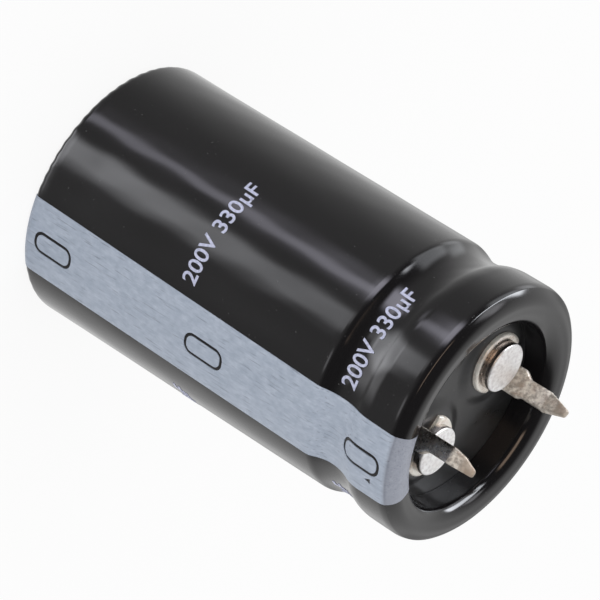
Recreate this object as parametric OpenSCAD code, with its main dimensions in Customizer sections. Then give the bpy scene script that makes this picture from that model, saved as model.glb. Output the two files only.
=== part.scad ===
// Snap-in electrolytic capacitor, 20 x 35 mm case, two blade terminals at 10 mm pitch.
// It stands on its closed end. The origin is the centre of that end, +Z runs to the
// terminals and +X runs from the negative blade to the positive one. Millimetres.

/* [Can] */
// Outer diameter of the aluminium can
can_d = 20; // [19:0.5:25]
// Length of the can from its closed end to the top of its rolled rim
can_len = 35.3; // [30:0.1:50]
// Thickness of the drawn side wall
wall_t = 0.3; // [0.2:0.05:0.4]
// Thickness of the closed end
base_t = 0.6; // [0.5:0.05:1]
// Inside radius of the corner round the closed end
corner_in_r = 0.2; // [0.1:0.05:0.5]
// Distance from the top of the rim down to the middle of the groove
groove_drop = 5.58; // [5.2:0.02:6]
// Depth of the groove that carries the seal
groove_depth = 0.51; // [0.46:0.01:0.6]
// Radius of the hollow of the groove
groove_r = 3.9; // [3.5:0.1:4.5]
// Radius of the shoulder below the groove
low_shoulder_r = 1.2; // [1:0.1:2]
// Radius of the shoulder above the groove, which carries the seal
top_shoulder_r = 2.6; // [2.4:0.1:3]
// How far the rolled rim stands out past the side wall
rim_swell = 0.05; // [0:0.01:0.08]
// Outside radius of the rolled rim at its outer edge
rim_r = 1; // [0.8:0.02:1.3]
// Slope of the top of the rim, falling inwards
rim_slope = 7; // [4:1:12]
// Width of the rolled rim, from the side wall in to the face of its lip
rim_w = 2.2; // [2:0.1:2.6]
// Outside radius of the bend where the rim turns down to the seal
lip_r = 0.45; // [0.42:0.01:0.5]

/* [Vent] */
// Length of each of the three scored arms in the closed end
vent_arm = 5.8; // [4:0.1:6.4]
// Width of a scored line at the surface
vent_w = 0.6; // [0.4:0.05:0.8]
// Depth of a scored line
vent_deep = 0.35; // [0.2:0.05:0.4]

/* [Sleeve] */
// Thickness of the shrunk sleeve
sleeve_t = 0.2; // [0.1:0.02:0.3]
// How far the sleeve is folded in under the closed end
sleeve_fold = 2.6; // [1.5:0.1:3]
// How far above the seal the sleeve ends inside the rim
sleeve_stop = 0.5; // [0.2:0.1:1]
// Thickness of the printed ink
ink_t = 0.03; // [0.02:0.01:0.05]
// Angle that the polarity stripe covers
stripe_angle = 34.8; // [20:0.2:60]
// Direction of the middle of the stripe, seen from the positive blade
stripe_dir = 179.1; // [170:0.1:190]
// Distance along the stripe between two minus marks
mark_pitch = 14.85; // [10:0.05:15]
// Height of the middle of the lowest mark
mark_first = 3.05; // [2.6:0.05:4]
// Length of a mark
mark_len = 3.5; // [2:0.1:4]
// Width of a mark
mark_w = 1.8; // [1.4:0.05:2.5]
// Width of the line that draws a mark
mark_line = 0.2; // [0.15:0.01:0.3]
// Radius of the four corners of a mark
mark_corner = 0.55; // [0.4:0.05:0.7]
// Side of the small triangle beside the last mark
tick_side = 0.5; // [0.3:0.05:0.8]

/* [Seal] */
// Thickness of the rubber facing
rubber_t = 0.5; // [0.4:0.1:0.8]
// Thickness of the laminate board under the rubber
board_t = 0.8; // [0.6:0.1:1]
// Clearance between the seal and the side wall
seal_gap = 0.1; // [0.05:0.01:0.12]

/* [Terminals] */
// Distance between the two blades
pin_pitch = 10; // [9:0.1:10.5]
// Angle between the row of blades and the line that each blade faces along
blade_turn = 41.5; // [30:0.5:55]
// Distance from the rivet to the middle of the blade, along that line
blade_reach = 2.7; // [2.6:0.05:3.2]
// Distance that the blade stands aside of that line
blade_side = 0.45; // [0:0.05:0.8]
// Thickness of the terminal sheet
plate_t = 0.7; // [0.5:0.05:0.8]
// Radius of the round end of the base plate
plate_r = 2.4; // [2.2:0.05:2.6]
// Distance from the rivet to the square cut of the plate
plate_cut = 1; // [0.6:0.05:1.2]
// Inside radius of the bend between plate and blade
bend_r = 0.25; // [0.2:0.05:0.35]
// Width of the foot of the blade
foot_w = 2.4; // [2:0.1:2.8]
// Height above the plate at which the foot starts to narrow
foot_h = 0.9; // [0.6:0.1:1.2]
// Width of the blade
blade_w = 1.5; // [1.2:0.1:1.8]
// Length of the blade above the rim
blade_len = 3.4; // [3:0.1:6]
// Height of the snap-in kink above the rim
kink_rise = 1.4; // [1:0.1:2]
// How far the kink stands outwards
kink_out = 0.45; // [0.2:0.05:0.6]
// Width of the tip
tip_w = 0.65; // [0.5:0.05:0.8]
// Thickness of the coined tip
tip_t = 0.42; // [0.3:0.02:0.5]

/* [Rivets] */
// Radius of the flat rivet head on the terminal
head_r = 1.93; // [1.7:0.01:2]
// Thickness of that head
head_t = 0.7; // [0.5:0.05:0.9]
// Width of the bevel round the head
head_bevel = 0.1; // [0.05:0.01:0.15]
// Radius of the rivet shank
shank_r = 1.1; // [0.9:0.05:1.3]
// Radius of the closed head inside the can
inner_head_r = 1.7; // [1.5:0.05:1.9]
// Thickness of the closed head
inner_head_t = 0.5; // [0.4:0.05:0.7]
// Clearance round the shank
shank_gap = 0.03; // [0.02:0.01:0.06]
// Radius of the washer under the board
washer_r = 2.3; // [2:0.05:2.6]
// Thickness of that washer
washer_t = 0.4; // [0.3:0.05:0.6]

/* [Element] */
// Clearance between the wound element with its tape and the can wall
element_gap = 0.3; // [0.2:0.05:0.6]
// Clear height between the top of the element and the groove's lower shoulder
element_drop = 0.9; // [0.6:0.1:3]
// Radius of the hole that the winding mandrel leaves
mandrel_r = 1.3; // [1:0.1:1.8]
// Height of the step where the last turn ends
turn_step = 0.12; // [0.05:0.01:0.2]
// Depth to which the turns stand open at both ends of the roll
turn_deep = 0.5; // [0.3:0.1:0.8]
// Number of turns that stand open
turn_count = 6; // [3:1:8]
// Width of the open gap between these turns
turn_gap = 0.3; // [0.2:0.05:0.5]
// Thickness of the tape that holds the roll closed
tape_t = 0.08; // [0.05:0.01:0.12]
// Bare roll above and below the tape
tape_margin = 3; // [1:0.5:6]
// Thickness of the paper disc under the element
paper_t = 0.3; // [0.2:0.05:0.5]
// Thickness of the lead tabs
tab_t = 0.25; // [0.2:0.05:0.3]
// Width of the lead tabs
tab_w = 3; // [2.6:0.1:3.2]
// Distance from the rivet out to where a tab leaves the element
tab_out = 2.6; // [2.4:0.1:3]
// Length of a tab inside the element
tab_deep = 4; // [2:0.5:8]
// Inside radius of the bend in a tab
tab_bend_r = 0.4; // [0.3:0.05:0.6]
// Clearance round a tab in the element
tab_gap = 0.04; // [0.03:0.01:0.08]

/* [Hidden] */

can_r = can_d / 2;
foot_z = sleeve_t;
rim_z = foot_z + can_len;
top_z = rim_z + sleeve_t;
corner_r = corner_in_r + wall_t;
in_r = can_r - wall_t;
floor_z = foot_z + base_t;

// The groove is a hollow arc between two round shoulders, each tangent to the next. Below
// it the wall is plain, and above it the wall stands out to the rim.
groove_z = rim_z - groove_drop;
low_span = groove_r + low_shoulder_r;
low_w = sqrt(2 * low_span * groove_depth - groove_depth * groove_depth);
low_a = asin(low_w / low_span);
rim_side = can_r + rim_swell;
top_rise = groove_depth + rim_swell;
top_span = groove_r + top_shoulder_r;
top_w = sqrt(2 * top_span * top_rise - top_rise * top_rise);
top_a = asin(top_w / top_span);

// The bend of the lip is tangent to the sloping top of the rim.
lip_x = can_r - rim_w + lip_r;
lip_rise = (rim_r - lip_r - (rim_side - rim_r - lip_x) * sin(rim_slope)) / cos(rim_slope);
lip_z = rim_z - rim_r + lip_rise;

// The board rests where the upper shoulder of the groove is as wide as the board.
seal_r = in_r - seal_gap;
ledge_cos = (seal_r - rim_side + top_shoulder_r) / (top_shoulder_r - wall_t);
board_z = groove_z + top_w - (top_shoulder_r - wall_t) * sin(acos(ledge_cos));
rubber_z = board_z + board_t;
seal_z = rubber_z + rubber_t;

plate_z = seal_z + plate_t;
tip_z = top_z + blade_len;
kink_z = top_z + kink_rise;
washer_z = board_z - washer_t;
tab_z = washer_z - tab_t;

element_z = floor_z + paper_t;
element_top = groove_z - low_w - element_drop;
tape_r = in_r - element_gap;
roll_r = tape_r - tape_t;
turn_pitch = (roll_r - mandrel_r) / (turn_count + 1);

fine = 96;
arc_steps = 8;
over = 0.01;

// Points of a circular arc about c, leaving out "skip" points at both ends.
function arc(c, r, a0, a1, skip = 0) = [
    for (i = [skip:arc_steps - skip])
        let (a = a0 + (a1 - a0) * i / arc_steps)
        [c[0] + r * cos(a), c[1] + r * sin(a)]
];

function back(points) = [for (i = [len(points) - 1:-1:0]) points[i]];

// Half outline of the can, moved outwards by o. Both faces of the can, the sleeve and
// the ink follow it, so each lies on the one beneath it.
function foot_line(o, from = -90) = arc([can_r - corner_r, foot_z + corner_r], corner_r + o, from, 0);

function groove_line(o) = concat(
    arc([can_r - low_shoulder_r, groove_z - low_w], low_shoulder_r + o, 0, low_a),
    arc([can_r - groove_depth + groove_r, groove_z], groove_r - o, 180 + low_a, 180 - top_a, 1),
    arc([rim_side - top_shoulder_r, groove_z + top_w], top_shoulder_r + o, -top_a, 0)
);

function rim_line(o) = concat(
    arc([rim_side - rim_r, rim_z - rim_r], rim_r + o, 0, 90 + rim_slope),
    arc([lip_x, lip_z], lip_r + o, 90 + rim_slope, 180)
);

function side_line(o) = concat(groove_line(o), rim_line(o));

// Places things at both rivets: the positive side, or the same turned half round.
module at_rivet(side) {
    rotate([0, 0, side > 0 ? 0 : 180])
        translate([pin_pitch / 2, 0, 0])
            rotate([0, 0, -90 - blade_turn])
                translate([-blade_side, -blade_reach, 0])
                    children();
}

module can_wall() {
    rotate_extrude($fn = fine)
        polygon(concat(
            [[0, foot_z]],
            foot_line(0),
            side_line(0),
            [[lip_x - lip_r, seal_z], [lip_x - lip_r + wall_t, seal_z]],
            back(side_line(-wall_t)),
            back(arc([in_r - corner_in_r, floor_z + corner_in_r], corner_in_r, -90, 0)),
            [[0, floor_z]]
        ));
}

// One arm of the pressure vent: a V cut, square at its outer end.
module vent_cut() {
    rotate([90, 0, 90])
        linear_extrude(vent_arm)
            polygon([
                [-vent_w / 2, foot_z - over],
                [vent_w / 2, foot_z - over],
                [0, foot_z + vent_deep]
            ]);
}

module can() {
    color([0.80, 0.81, 0.83])
        difference() {
            can_wall();
            for (a = [90, 210, 330])
                rotate([0, 0, a])
                    vent_cut();
        }
}

module sleeve() {
    color([0.06, 0.06, 0.07])
        rotate_extrude($fn = fine)
            polygon(concat(
                [[can_r - sleeve_fold, foot_z], [can_r - sleeve_fold, 0]],
                foot_line(sleeve_t),
                side_line(sleeve_t),
                [
                    [lip_x - lip_r - sleeve_t, seal_z + sleeve_stop],
                    [lip_x - lip_r, seal_z + sleeve_stop]
                ],
                back(side_line(0)),
                back(foot_line(0))
            ));
}

// A band of ink over the sleeve, from the foot's corner up and over the rim.
module ink_band() {
    outer = concat(foot_line(sleeve_t + ink_t, -60), side_line(sleeve_t + ink_t));
    inner = concat(foot_line(sleeve_t, -60), side_line(sleeve_t));
    rotate([0, 0, stripe_dir - stripe_angle / 2])
        rotate_extrude(angle = stripe_angle, $fn = fine)
            polygon(concat(outer, back(inner)));
}

// A rectangle with round corners.
module round_box(length, width, corner) {
    x = width / 2 - corner;
    y = length / 2 - corner;
    square([2 * x, length], center = true);
    square([width, 2 * y], center = true);
    for (at = [[-x, -y], [x, -y], [x, y], [-x, y]])
        translate(at)
            circle(r = corner, $fn = 24);
}

// The outline of a minus mark, cut through the ink along the radius.
module mark_cut() {
    rotate([90, 0, 90])
        linear_extrude(can_r)
            difference() {
                round_box(mark_len, mark_w, mark_corner);
                round_box(mark_len - 2 * mark_line, mark_w - 2 * mark_line, mark_corner - mark_line);
            }
}

module tick_cut() {
    rotate([90, 0, 90])
        linear_extrude(can_r)
            polygon([
                [-tick_side / 2, tick_side / 2],
                [tick_side / 2, tick_side / 2],
                [0, -tick_side / 2]
            ]);
}

module polarity_stripe() {
    mark_last = mark_first + 2 * mark_pitch;
    tick_turn = 8.3;
    color([0.67, 0.71, 0.79])
        difference() {
            ink_band();
            for (z = [mark_first:mark_pitch:mark_last + over])
                rotate([0, 0, stripe_dir])
                    translate([can_r / 2, 0, z])
                        mark_cut();
            rotate([0, 0, stripe_dir + tick_turn])
                translate([can_r / 2, 0, mark_last + mark_len / 4])
                    tick_cut();
        }
}

// A disc of the seal with a hole for each rivet.
module seal_disc(z, t) {
    difference() {
        translate([0, 0, z])
            cylinder(r = seal_r, h = t, $fn = fine);
        for (side = [-1, 1])
            at_rivet(side)
                translate([0, 0, z - over])
                    cylinder(r = shank_r + shank_gap, h = t + 2 * over, $fn = 48);
    }
}

module seal_rubber() {
    color([0.10, 0.10, 0.11])
        seal_disc(rubber_z, rubber_t);
}

module seal_board() {
    color([0.42, 0.26, 0.13])
        seal_disc(board_z, board_t);
}

// Side view of the bent sheet: plate, bend, blade with its kink and coined tip.
module terminal_side() {
    inner_y = blade_reach - plate_t / 2;
    bend = [inner_y - bend_r, plate_z + bend_r];
    polygon(concat(
        [[-plate_r - over, seal_z]],
        arc(bend, bend_r + plate_t, -90, 0),
        [
            [inner_y + plate_t + kink_out, kink_z],
            [blade_reach + tip_t / 2, tip_z],
            [blade_reach - tip_t / 2, tip_z],
            [inner_y + kink_out, kink_z]
        ],
        back(arc(bend, bend_r, -90, 0)),
        [[-plate_r - over, plate_z]]
    ));
}

// Plan of the base plate: round end, square cut and the neck that turns up.
module terminal_plan() {
    intersection() {
        circle(r = plate_r, $fn = fine);
        translate([-plate_r, -plate_r])
            square([2 * plate_r, plate_r + plate_cut]);
    }
    translate([blade_side - foot_w / 2, 0])
        square([foot_w, blade_reach + plate_t + kink_out]);
}

// Front view: everything below the foot's shoulders, then the blade and its tip.
module terminal_front() {
    narrow_z = plate_z + foot_h;
    slope_h = (foot_w - blade_w) / 2 * 1.4;
    round_h = tip_w / 2;
    translate([-plate_r, seal_z])
        square([2 * plate_r, plate_t + bend_r / 2]);
    translate([blade_side, 0])
        polygon([
            [-foot_w / 2, seal_z],
            [foot_w / 2, seal_z],
            [foot_w / 2, narrow_z],
            [blade_w / 2, narrow_z + slope_h],
            [blade_w / 2, kink_z],
            [tip_w / 2, tip_z - round_h],
            [tip_w / 4, tip_z],
            [-tip_w / 4, tip_z],
            [-tip_w / 2, tip_z - round_h],
            [-blade_w / 2, kink_z],
            [-blade_w / 2, narrow_z + slope_h],
            [-foot_w / 2, narrow_z]
        ]);
}

module terminal() {
    reach = blade_reach + plate_t + kink_out + over;
    difference() {
        intersection() {
            translate([-plate_r - over, 0, 0])
                rotate([90, 0, 90])
                    linear_extrude(2 * plate_r + 2 * over)
                        terminal_side();
            translate([0, 0, seal_z - over])
                linear_extrude(tip_z - seal_z + 2 * over)
                    terminal_plan();
            translate([0, reach, 0])
                rotate([90, 0, 0])
                    linear_extrude(reach + plate_r + over)
                        terminal_front();
        }
        translate([0, 0, seal_z - over])
            cylinder(r = shank_r + shank_gap, h = plate_t + 2 * over, $fn = 48);
    }
}

module terminal_positive() {
    color([0.78, 0.77, 0.76])
        at_rivet(1)
            terminal();
}

module terminal_negative() {
    color([0.78, 0.77, 0.76])
        at_rivet(-1)
            terminal();
}

module rivet() {
    top = plate_z + head_t;
    low = tab_z - inner_head_t;
    rotate_extrude($fn = fine)
        polygon([
            [0, low],
            [inner_head_r - head_bevel, low],
            [inner_head_r, low + head_bevel],
            [inner_head_r, tab_z],
            [shank_r, tab_z],
            [shank_r, plate_z],
            [head_r, plate_z],
            [head_r, top - head_bevel],
            [head_r - head_bevel, top],
            [0, top]
        ]);
}

module rivet_positive() {
    color([0.86, 0.86, 0.87])
        at_rivet(1)
            rivet();
}

module rivet_negative() {
    color([0.86, 0.86, 0.87])
        at_rivet(-1)
            rivet();
}

module inner_washer() {
    translate([0, 0, washer_z])
        difference() {
            cylinder(r = washer_r, h = washer_t, $fn = fine);
            translate([0, 0, -over])
                cylinder(r = shank_r + shank_gap, h = washer_t + 2 * over, $fn = 48);
        }
}

module inner_washer_positive() {
    color([0.80, 0.81, 0.83])
        at_rivet(1)
            inner_washer();
}

module inner_washer_negative() {
    color([0.80, 0.81, 0.83])
        at_rivet(-1)
            inner_washer();
}

// A lead tab: up out of the roll, bent over and under the washer, held by the rivet.
module tab() {
    bend = [-tab_out + tab_bend_r, washer_z - tab_t - tab_bend_r];
    difference() {
        translate([-tab_w / 2, 0, 0])
            rotate([90, 0, 90])
                linear_extrude(tab_w)
                    polygon(concat(
                        [[-tab_out, element_top - tab_deep]],
                        [[-tab_out - tab_t, element_top - tab_deep]],
                        arc(bend, tab_bend_r + tab_t, 180, 90),
                        [[washer_r, washer_z], [washer_r, tab_z]],
                        back(arc(bend, tab_bend_r, 180, 90))
                    ));
        translate([0, 0, tab_z - over])
            cylinder(r = shank_r + shank_gap, h = tab_t + 2 * over, $fn = 48);
    }
}

module tab_positive() {
    color([0.83, 0.84, 0.85])
        at_rivet(1)
            tab();
}

module tab_negative() {
    color([0.83, 0.84, 0.85])
        at_rivet(-1)
            tab();
}

// The last turn ends in a small step, so the outline is one turn of a spiral.
module roll_outline() {
    step = 7.5;
    polygon([
        for (a = [0:step:360 - step])
            let (r = roll_r - turn_step * a / 360)
            [r * cos(a), r * sin(a)]
    ]);
}

// The gap between the turns that stand open: a spiral of constant pitch.
module turn_spiral() {
    step = 15;
    start = mandrel_r + turn_pitch / 2;
    angles = [for (a = [0:step:360 * (turn_count - 1)]) a];
    outer = [for (a = angles) let (r = start + turn_pitch * a / 360) [r * cos(a), r * sin(a)]];
    inner = [
        for (a = angles)
            let (r = start + turn_pitch * a / 360 - turn_gap)
            [r * cos(a), r * sin(a)]
    ];
    polygon(concat(outer, back(inner)));
}

module wound_element() {
    slot = tab_t + 2 * tab_gap;
    color([0.85, 0.79, 0.64])
        difference() {
            translate([0, 0, element_z])
                linear_extrude(element_top - element_z)
                    roll_outline();
            translate([0, 0, element_z - over])
                cylinder(r = mandrel_r, h = element_top - element_z + 2 * over, $fn = 48);
            for (z = [element_z - over, element_top - turn_deep])
                translate([0, 0, z])
                    linear_extrude(turn_deep + over)
                        turn_spiral();
            for (side = [-1, 1])
                at_rivet(side)
                    translate([-tab_w / 2 - tab_gap, -tab_out - tab_t - tab_gap, element_top - tab_deep - tab_gap])
                        cube([tab_w + 2 * tab_gap, slot, tab_deep + tab_gap + over]);
        }
}

module element_tape() {
    low = element_z + tape_margin;
    high = element_top - tape_margin;
    color([0.88, 0.78, 0.42])
        translate([0, 0, low])
            difference() {
                cylinder(r = tape_r, h = high - low, $fn = fine);
                translate([0, 0, -over])
                    cylinder(r = roll_r, h = high - low + 2 * over, $fn = fine);
            }
}

module end_paper() {
    color([0.78, 0.70, 0.55])
        translate([0, 0, floor_z])
            cylinder(r = in_r - corner_in_r - seal_gap, h = paper_t, $fn = fine);
}

can();
sleeve();
polarity_stripe();
seal_rubber();
seal_board();
terminal_positive();
terminal_negative();
rivet_positive();
rivet_negative();
inner_washer_positive();
inner_washer_negative();
tab_positive();
tab_negative();
wound_element();
element_tape();
end_paper();
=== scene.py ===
import math

import bmesh
import bpy
import numpy as np
from mathutils import Matrix, Vector


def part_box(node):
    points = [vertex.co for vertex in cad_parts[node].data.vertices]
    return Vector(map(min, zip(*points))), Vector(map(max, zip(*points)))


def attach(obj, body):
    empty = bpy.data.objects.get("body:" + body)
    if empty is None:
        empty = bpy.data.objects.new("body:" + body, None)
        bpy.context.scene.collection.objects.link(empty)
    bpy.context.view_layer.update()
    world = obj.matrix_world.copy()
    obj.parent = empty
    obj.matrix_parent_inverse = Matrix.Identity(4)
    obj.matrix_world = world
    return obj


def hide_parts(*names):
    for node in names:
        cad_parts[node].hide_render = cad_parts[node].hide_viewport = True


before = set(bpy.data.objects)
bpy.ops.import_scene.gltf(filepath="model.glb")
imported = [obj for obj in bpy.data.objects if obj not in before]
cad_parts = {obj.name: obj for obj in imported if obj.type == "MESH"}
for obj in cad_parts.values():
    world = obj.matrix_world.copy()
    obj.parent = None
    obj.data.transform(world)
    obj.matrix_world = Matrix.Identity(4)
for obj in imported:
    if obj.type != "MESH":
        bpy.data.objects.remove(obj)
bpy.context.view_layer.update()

# Looks of a snap-in electrolytic capacitor. Lengths are in mm, and MM turns them into Blender's metres.
# Azimuths are in degrees, from +X towards +Y.
MM = 0.001


def node_box(name):
    """Lowest and highest corner of a CAD node, in mm."""
    return [np.array(corner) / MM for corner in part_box(name)]


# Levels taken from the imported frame.
foot_z = node_box("can")[0][2]
rim_z = node_box("can")[1][2]
rubber_z = node_box("seal_rubber")[0][2]
seal_z = node_box("seal_rubber")[1][2]
tip_z = node_box("terminal_positive")[1][2]

# Outline of the can, as in the part's source.
can_r = 10.0
wall_t = 0.3
sleeve_t = foot_z
ink_t = 0.03
top_z = rim_z + sleeve_t
corner_r = 0.5
groove_drop = 5.58
groove_depth = 0.51
groove_r = 3.9
low_shoulder_r = 1.2
top_shoulder_r = 2.6
rim_swell = 0.05
rim_r = 1.0
rim_slope = 7
rim_w = 2.2
lip_r = 0.45
groove_z = rim_z - groove_drop
low_span = groove_r + low_shoulder_r
low_w = math.sqrt(2 * low_span * groove_depth - groove_depth ** 2)
low_a = math.degrees(math.asin(low_w / low_span))
rim_side = can_r + rim_swell
top_rise = groove_depth + rim_swell
top_span = groove_r + top_shoulder_r
top_w = math.sqrt(2 * top_span * top_rise - top_rise ** 2)
top_a = math.degrees(math.asin(top_w / top_span))
lip_x = can_r - rim_w + lip_r
lip_z = rim_z - rim_r + (
    rim_r - lip_r - (rim_side - rim_r - lip_x) * math.sin(math.radians(rim_slope))
) / math.cos(math.radians(rim_slope))
foot_points = 10

# Film of the sleeve. It is folded in under the closed end, stops just above the seal, and is creased at
# crease_z, where the stripe's ink carries painted shade. film_bends are its arcs over the rim, each a
# radius and the angle its normal ends at. Round the azimuth lip_gather_at it is gathered in at the lip.
sleeve_fold = 2.6
sleeve_stop = 0.03
film_bends = ((1.5, 22), (0.25, 43), (2.6, 54), (1.148, 97))
film_lip_r = 1.0
crease_z = 35.1
lip_gather = 0.4
lip_gather_at = 62
film_lip_x = can_r - rim_w - sleeve_t + film_lip_r

# Unevenness of the film: depth of the slow waves and of the ruffles on its wall, of the dents round the
# level dent_z, of the crimps round the foot, and of the puckers and the ragged edge under the closed end.
# The wall's unevenness sets in and ends over two ramps, each given by its start and length.
wall_start = (1.0, 3)
wall_end = (top_z - 1.5, -2)
wave_depth = 0.014
ruffle_depth = 0.03
dent_depth = 0.035
dent_z = 31.3
dent_reach = 2.2
crimp_depth = 0.07
crimp_count = 62
crimp_wander = 2.5
crimp_fade = 0.9
crimp_z = 0.25
crimp_reach = 0.35
pucker_depth = 0.09
pucker_reach = 2.0
ragged_by = 0.12

# Terminals and rivets. right_limit is how far a blade's right edge may be from its middle. One tip was
# bent to lean by tip_lean, and the other blade twisted by blade_twist degrees. plate_matt is how matt the
# middle of each plate is, up to plate_end, and matt_edge how far its matt edge reaches. Matt metal is
# painted the pale struck colour, so the negative plate's high plate_matt is partly a painted highlight.
pin_pitch = 10.0
blade_turn = 41.5
blade_reach = 2.7
blade_side = 0.45
plate_t = 0.7
plate_r = 2.4
plate_cut = 1.0
plate_z = seal_z + plate_t
bend_r = 0.25
foot_w = 2.4
foot_h = 0.9
foot_top = plate_z + foot_h
blade_w = 1.5
shoulder_rise = 0.7
kink_z = top_z + 1.4
kink_out = 0.45
tip_w = 0.65
tip_t = 0.42
cut_soft = 0.16
right_limit = {"positive": 0.95, "negative": 0.52}
tip_lean = {"positive": 0.0, "negative": -0.42}
blade_twist = {"positive": -17.0, "negative": 0.0}
plate_matt = {"positive": 0.1, "negative": 0.75}
plate_end = plate_cut + 0.3
matt_edge = 0.2
matt_blur = 0.3
head_r = 1.93
head_t = 0.7
head_edge_r = 0.16
head_foot = 0.06
head_dish = 0.012
head_wobble = 0.02
shank_r = 1.1
closed_head_r = 1.7
closed_head_t = 0.5

# Seal, and its swelling round each plate: flat, then a slope, and faded out before the seal's edge.
seal_r = can_r - wall_t - 0.1
seal_edge_r = 0.3
swell_h = 0.34
swell_flat = 2.55
swell_slope = 1.25
swell_end = 8.4
swell_fade = 1.2

# Print on the sleeve. The stripe starts stripe_start degrees up the arc of the foot's corner, and
# capital_share is a capital's height over the font's size.
stripe_azimuth = 179.1
stripe_angle = 34.8
stripe_start = 30
mark_pitch = 14.85
mark_first = 3.0
mark_len = 3.65
mark_w = 1.8
mark_line = 0.25
mark_corner = 0.78
tick_side = 0.5
tick_azimuth = stripe_azimuth + 8.3
rating = "200V 330µF"
rating_height = 1.3
rating_t = 0.008
rating_rows = (14.9, 29.8)
rating_azimuths = (156.5, 262.0)
capital_share = 0.73
bolder_by = 0.022
print_sink = 0.03

# The film shrank aslant: its print leans by print_lean degrees for each mm of height over print_middle.
print_lean = 0.131
print_middle = 18.0

# Camera, rolled so that the part lies slantwise.
camera_aim = (0.0735, 0.0831, 18.031)
camera_azimuth = 138.5
camera_elevation = 28.593
camera_roll = 122.198
camera_distance = 334.458
camera_lens = 278.18
camera_sensor = 36

# Studio seen in gloss: level of the room from the camera's side to the far side, and what is left of it
# in the dark ceiling and low down at the far side. Each range is where one changes: of elevations in
# degrees, or of the cosine off the direction the camera looks in.
room_near = 0.37
room_far = 0.95
room_range = (-0.25, 0.75)
ceiling_share = 0.08
ceiling_elevations = (-24, 6)
ceiling_range = (-0.05, 0.5)
low_share = 0.35
low_elevations = (-8, 24)
low_range = (0.80, 0.93)

# Light that falls on the part, half the floor's side, and the share of it that shines for the camera.
world_light = 0.85
floor_size = 3000
floor_shine = 0.9

# Soft lamps seen in gloss: azimuth off the camera's, elevation, half width, half height and softness in
# degrees, strength, and tint.
soft_lamps = (
    (-42, -11, 10, 15, 5, 4.6, (0.95, 0.93, 1.08)),
    (-39, -34, 3.5, 9, 2.5, 2.3, (0.95, 0.93, 1.08)),
    (-50, -46, 4, 5, 3, 0.9, (0.95, 0.93, 1.08)),
    (-5, -54, 11, 22.5, 4, 3.3, (0.97, 0.98, 1.03)),
    (-7, -30, 7, 6, 3, 1.7, (0.97, 0.98, 1.03)),
    (23, -54, 12, 16, 7, 1.5, (0.98, 0.98, 1.02)),
    (27, -18, 8, 5, 4, 1.6, (0.98, 0.98, 1.02)),
    (-10, -17, 5, 7, 3, 1.0, (0.98, 0.98, 1.02)),
    (-97, 44, 10, 7, 4, 2.6, (1, 1, 1.05)),
    (-95, 3, 16, 9, 5, 1.9, (0.97, 1, 1.05)),
    (-93, 23, 27, 8.5, 3.5, 12.0, (0.97, 1, 1.06)),
    (-122, -8, 8, 7, 5, 1.2, (0.97, 1, 1.05)),
    (-15, 33, 20, 9, 4, 2.6, (1.3, 0.95, 0.7)),
)


# Outlines.

def heading(angle):
    """Flat unit vector at an angle in degrees: its cosine and sine."""
    return np.array([math.cos(math.radians(angle)), math.sin(math.radians(angle))])


def arc(centre, radius, start, end, count):
    """Points on a circle: centre plus radius times cosine and sine of even angles from start to end."""
    angle = np.radians(np.linspace(start, end, count))
    return np.column_stack([centre[0] + radius * np.cos(angle), centre[1] + radius * np.sin(angle)])


def line(first, last, count):
    """Points at even steps between two ends, without the ends."""
    share = np.linspace(0, 1, count + 2)[1:-1, None]
    return (1 - share) * np.array(first) + share * np.array(last)


def body_outline(offset):
    """Half outline (radius, height) of the can, moved outwards by offset, from the foot's corner to the free
    edge of the lip: foot arc, straight wall, shoulder, hollow and shoulder of the groove, wall, rim arc,
    sloping rim, lip arc and the short wall down to the sleeve's end."""
    foot = arc((can_r - corner_r, foot_z + corner_r), corner_r + offset, -90, 0, foot_points)
    low = arc((can_r - low_shoulder_r, groove_z - low_w), low_shoulder_r + offset, 0, low_a, 10)
    hollow = arc(
        (can_r - groove_depth + groove_r, groove_z), groove_r - offset, 180 + low_a, 180 - top_a, 22
    )[1:-1]
    high = arc((rim_side - top_shoulder_r, groove_z + top_w), top_shoulder_r + offset, -top_a, 0, 14)
    rim = arc((rim_side - rim_r, rim_z - rim_r), rim_r + offset, 0, 90 + rim_slope, 18)
    lip = arc((lip_x, lip_z), lip_r + offset, 90 + rim_slope, 180, 12)
    end = np.array([[lip[-1, 0], seal_z + sleeve_stop]])
    return np.concatenate([
        foot, line(foot[-1], low[0], 60), low, hollow, high, line(high[-1], rim[0], 2),
        rim, line(rim[-1], lip[0], 4), lip, line(lip[-1], end[0], 4), end,
    ])


def film_outline():
    """Outline of the film's outer skin: the body's, but drawn tight over the rim, where the arcs film_bends
    follow one another: a slow bend, a crease, a nearly straight chord and the bend onto the rim's slope. A
    wider arc turns down over the lip."""
    skin = body_outline(sleeve_t)
    slope = heading(90 + rim_slope)
    on_slope = np.array([rim_side - rim_r, rim_z - rim_r]) + (rim_r + sleeve_t) * slope
    start, pieces, spot = 0, [], np.array([rim_side + sleeve_t, 0.0])
    for radius, end in film_bends:
        pieces.append(arc(spot - radius * heading(start), radius, start, end, 12)[1:])
        start, spot = end, pieces[-1][-1]
    rim = np.concatenate(pieces)
    rise = (slope @ (on_slope - spot)) / slope[1]
    rim[:, 1] += rise
    lip_level = on_slope[1] - (film_lip_r + slope[0] * (film_lip_x - on_slope[0])) / slope[1]
    lip = arc((film_lip_x, lip_level), film_lip_r, 90 + rim_slope, 180, 16)
    foot = skin[:foot_points]
    on_wall = (skin[:, 1] > foot[-1, 1]) & (skin[:, 1] < min(rise, rim_z - rim_r))
    wall = skin[on_wall & (skin[:, 0] > can_r - rim_r)]
    end = np.array([[lip[-1, 0], seal_z + sleeve_stop]])
    return np.concatenate([
        foot, wall, [[rim_side + sleeve_t, rise]], rim, line(rim[-1], lip[0], 4), lip,
        line(lip[-1], end[0], 4), end,
    ])


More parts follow.
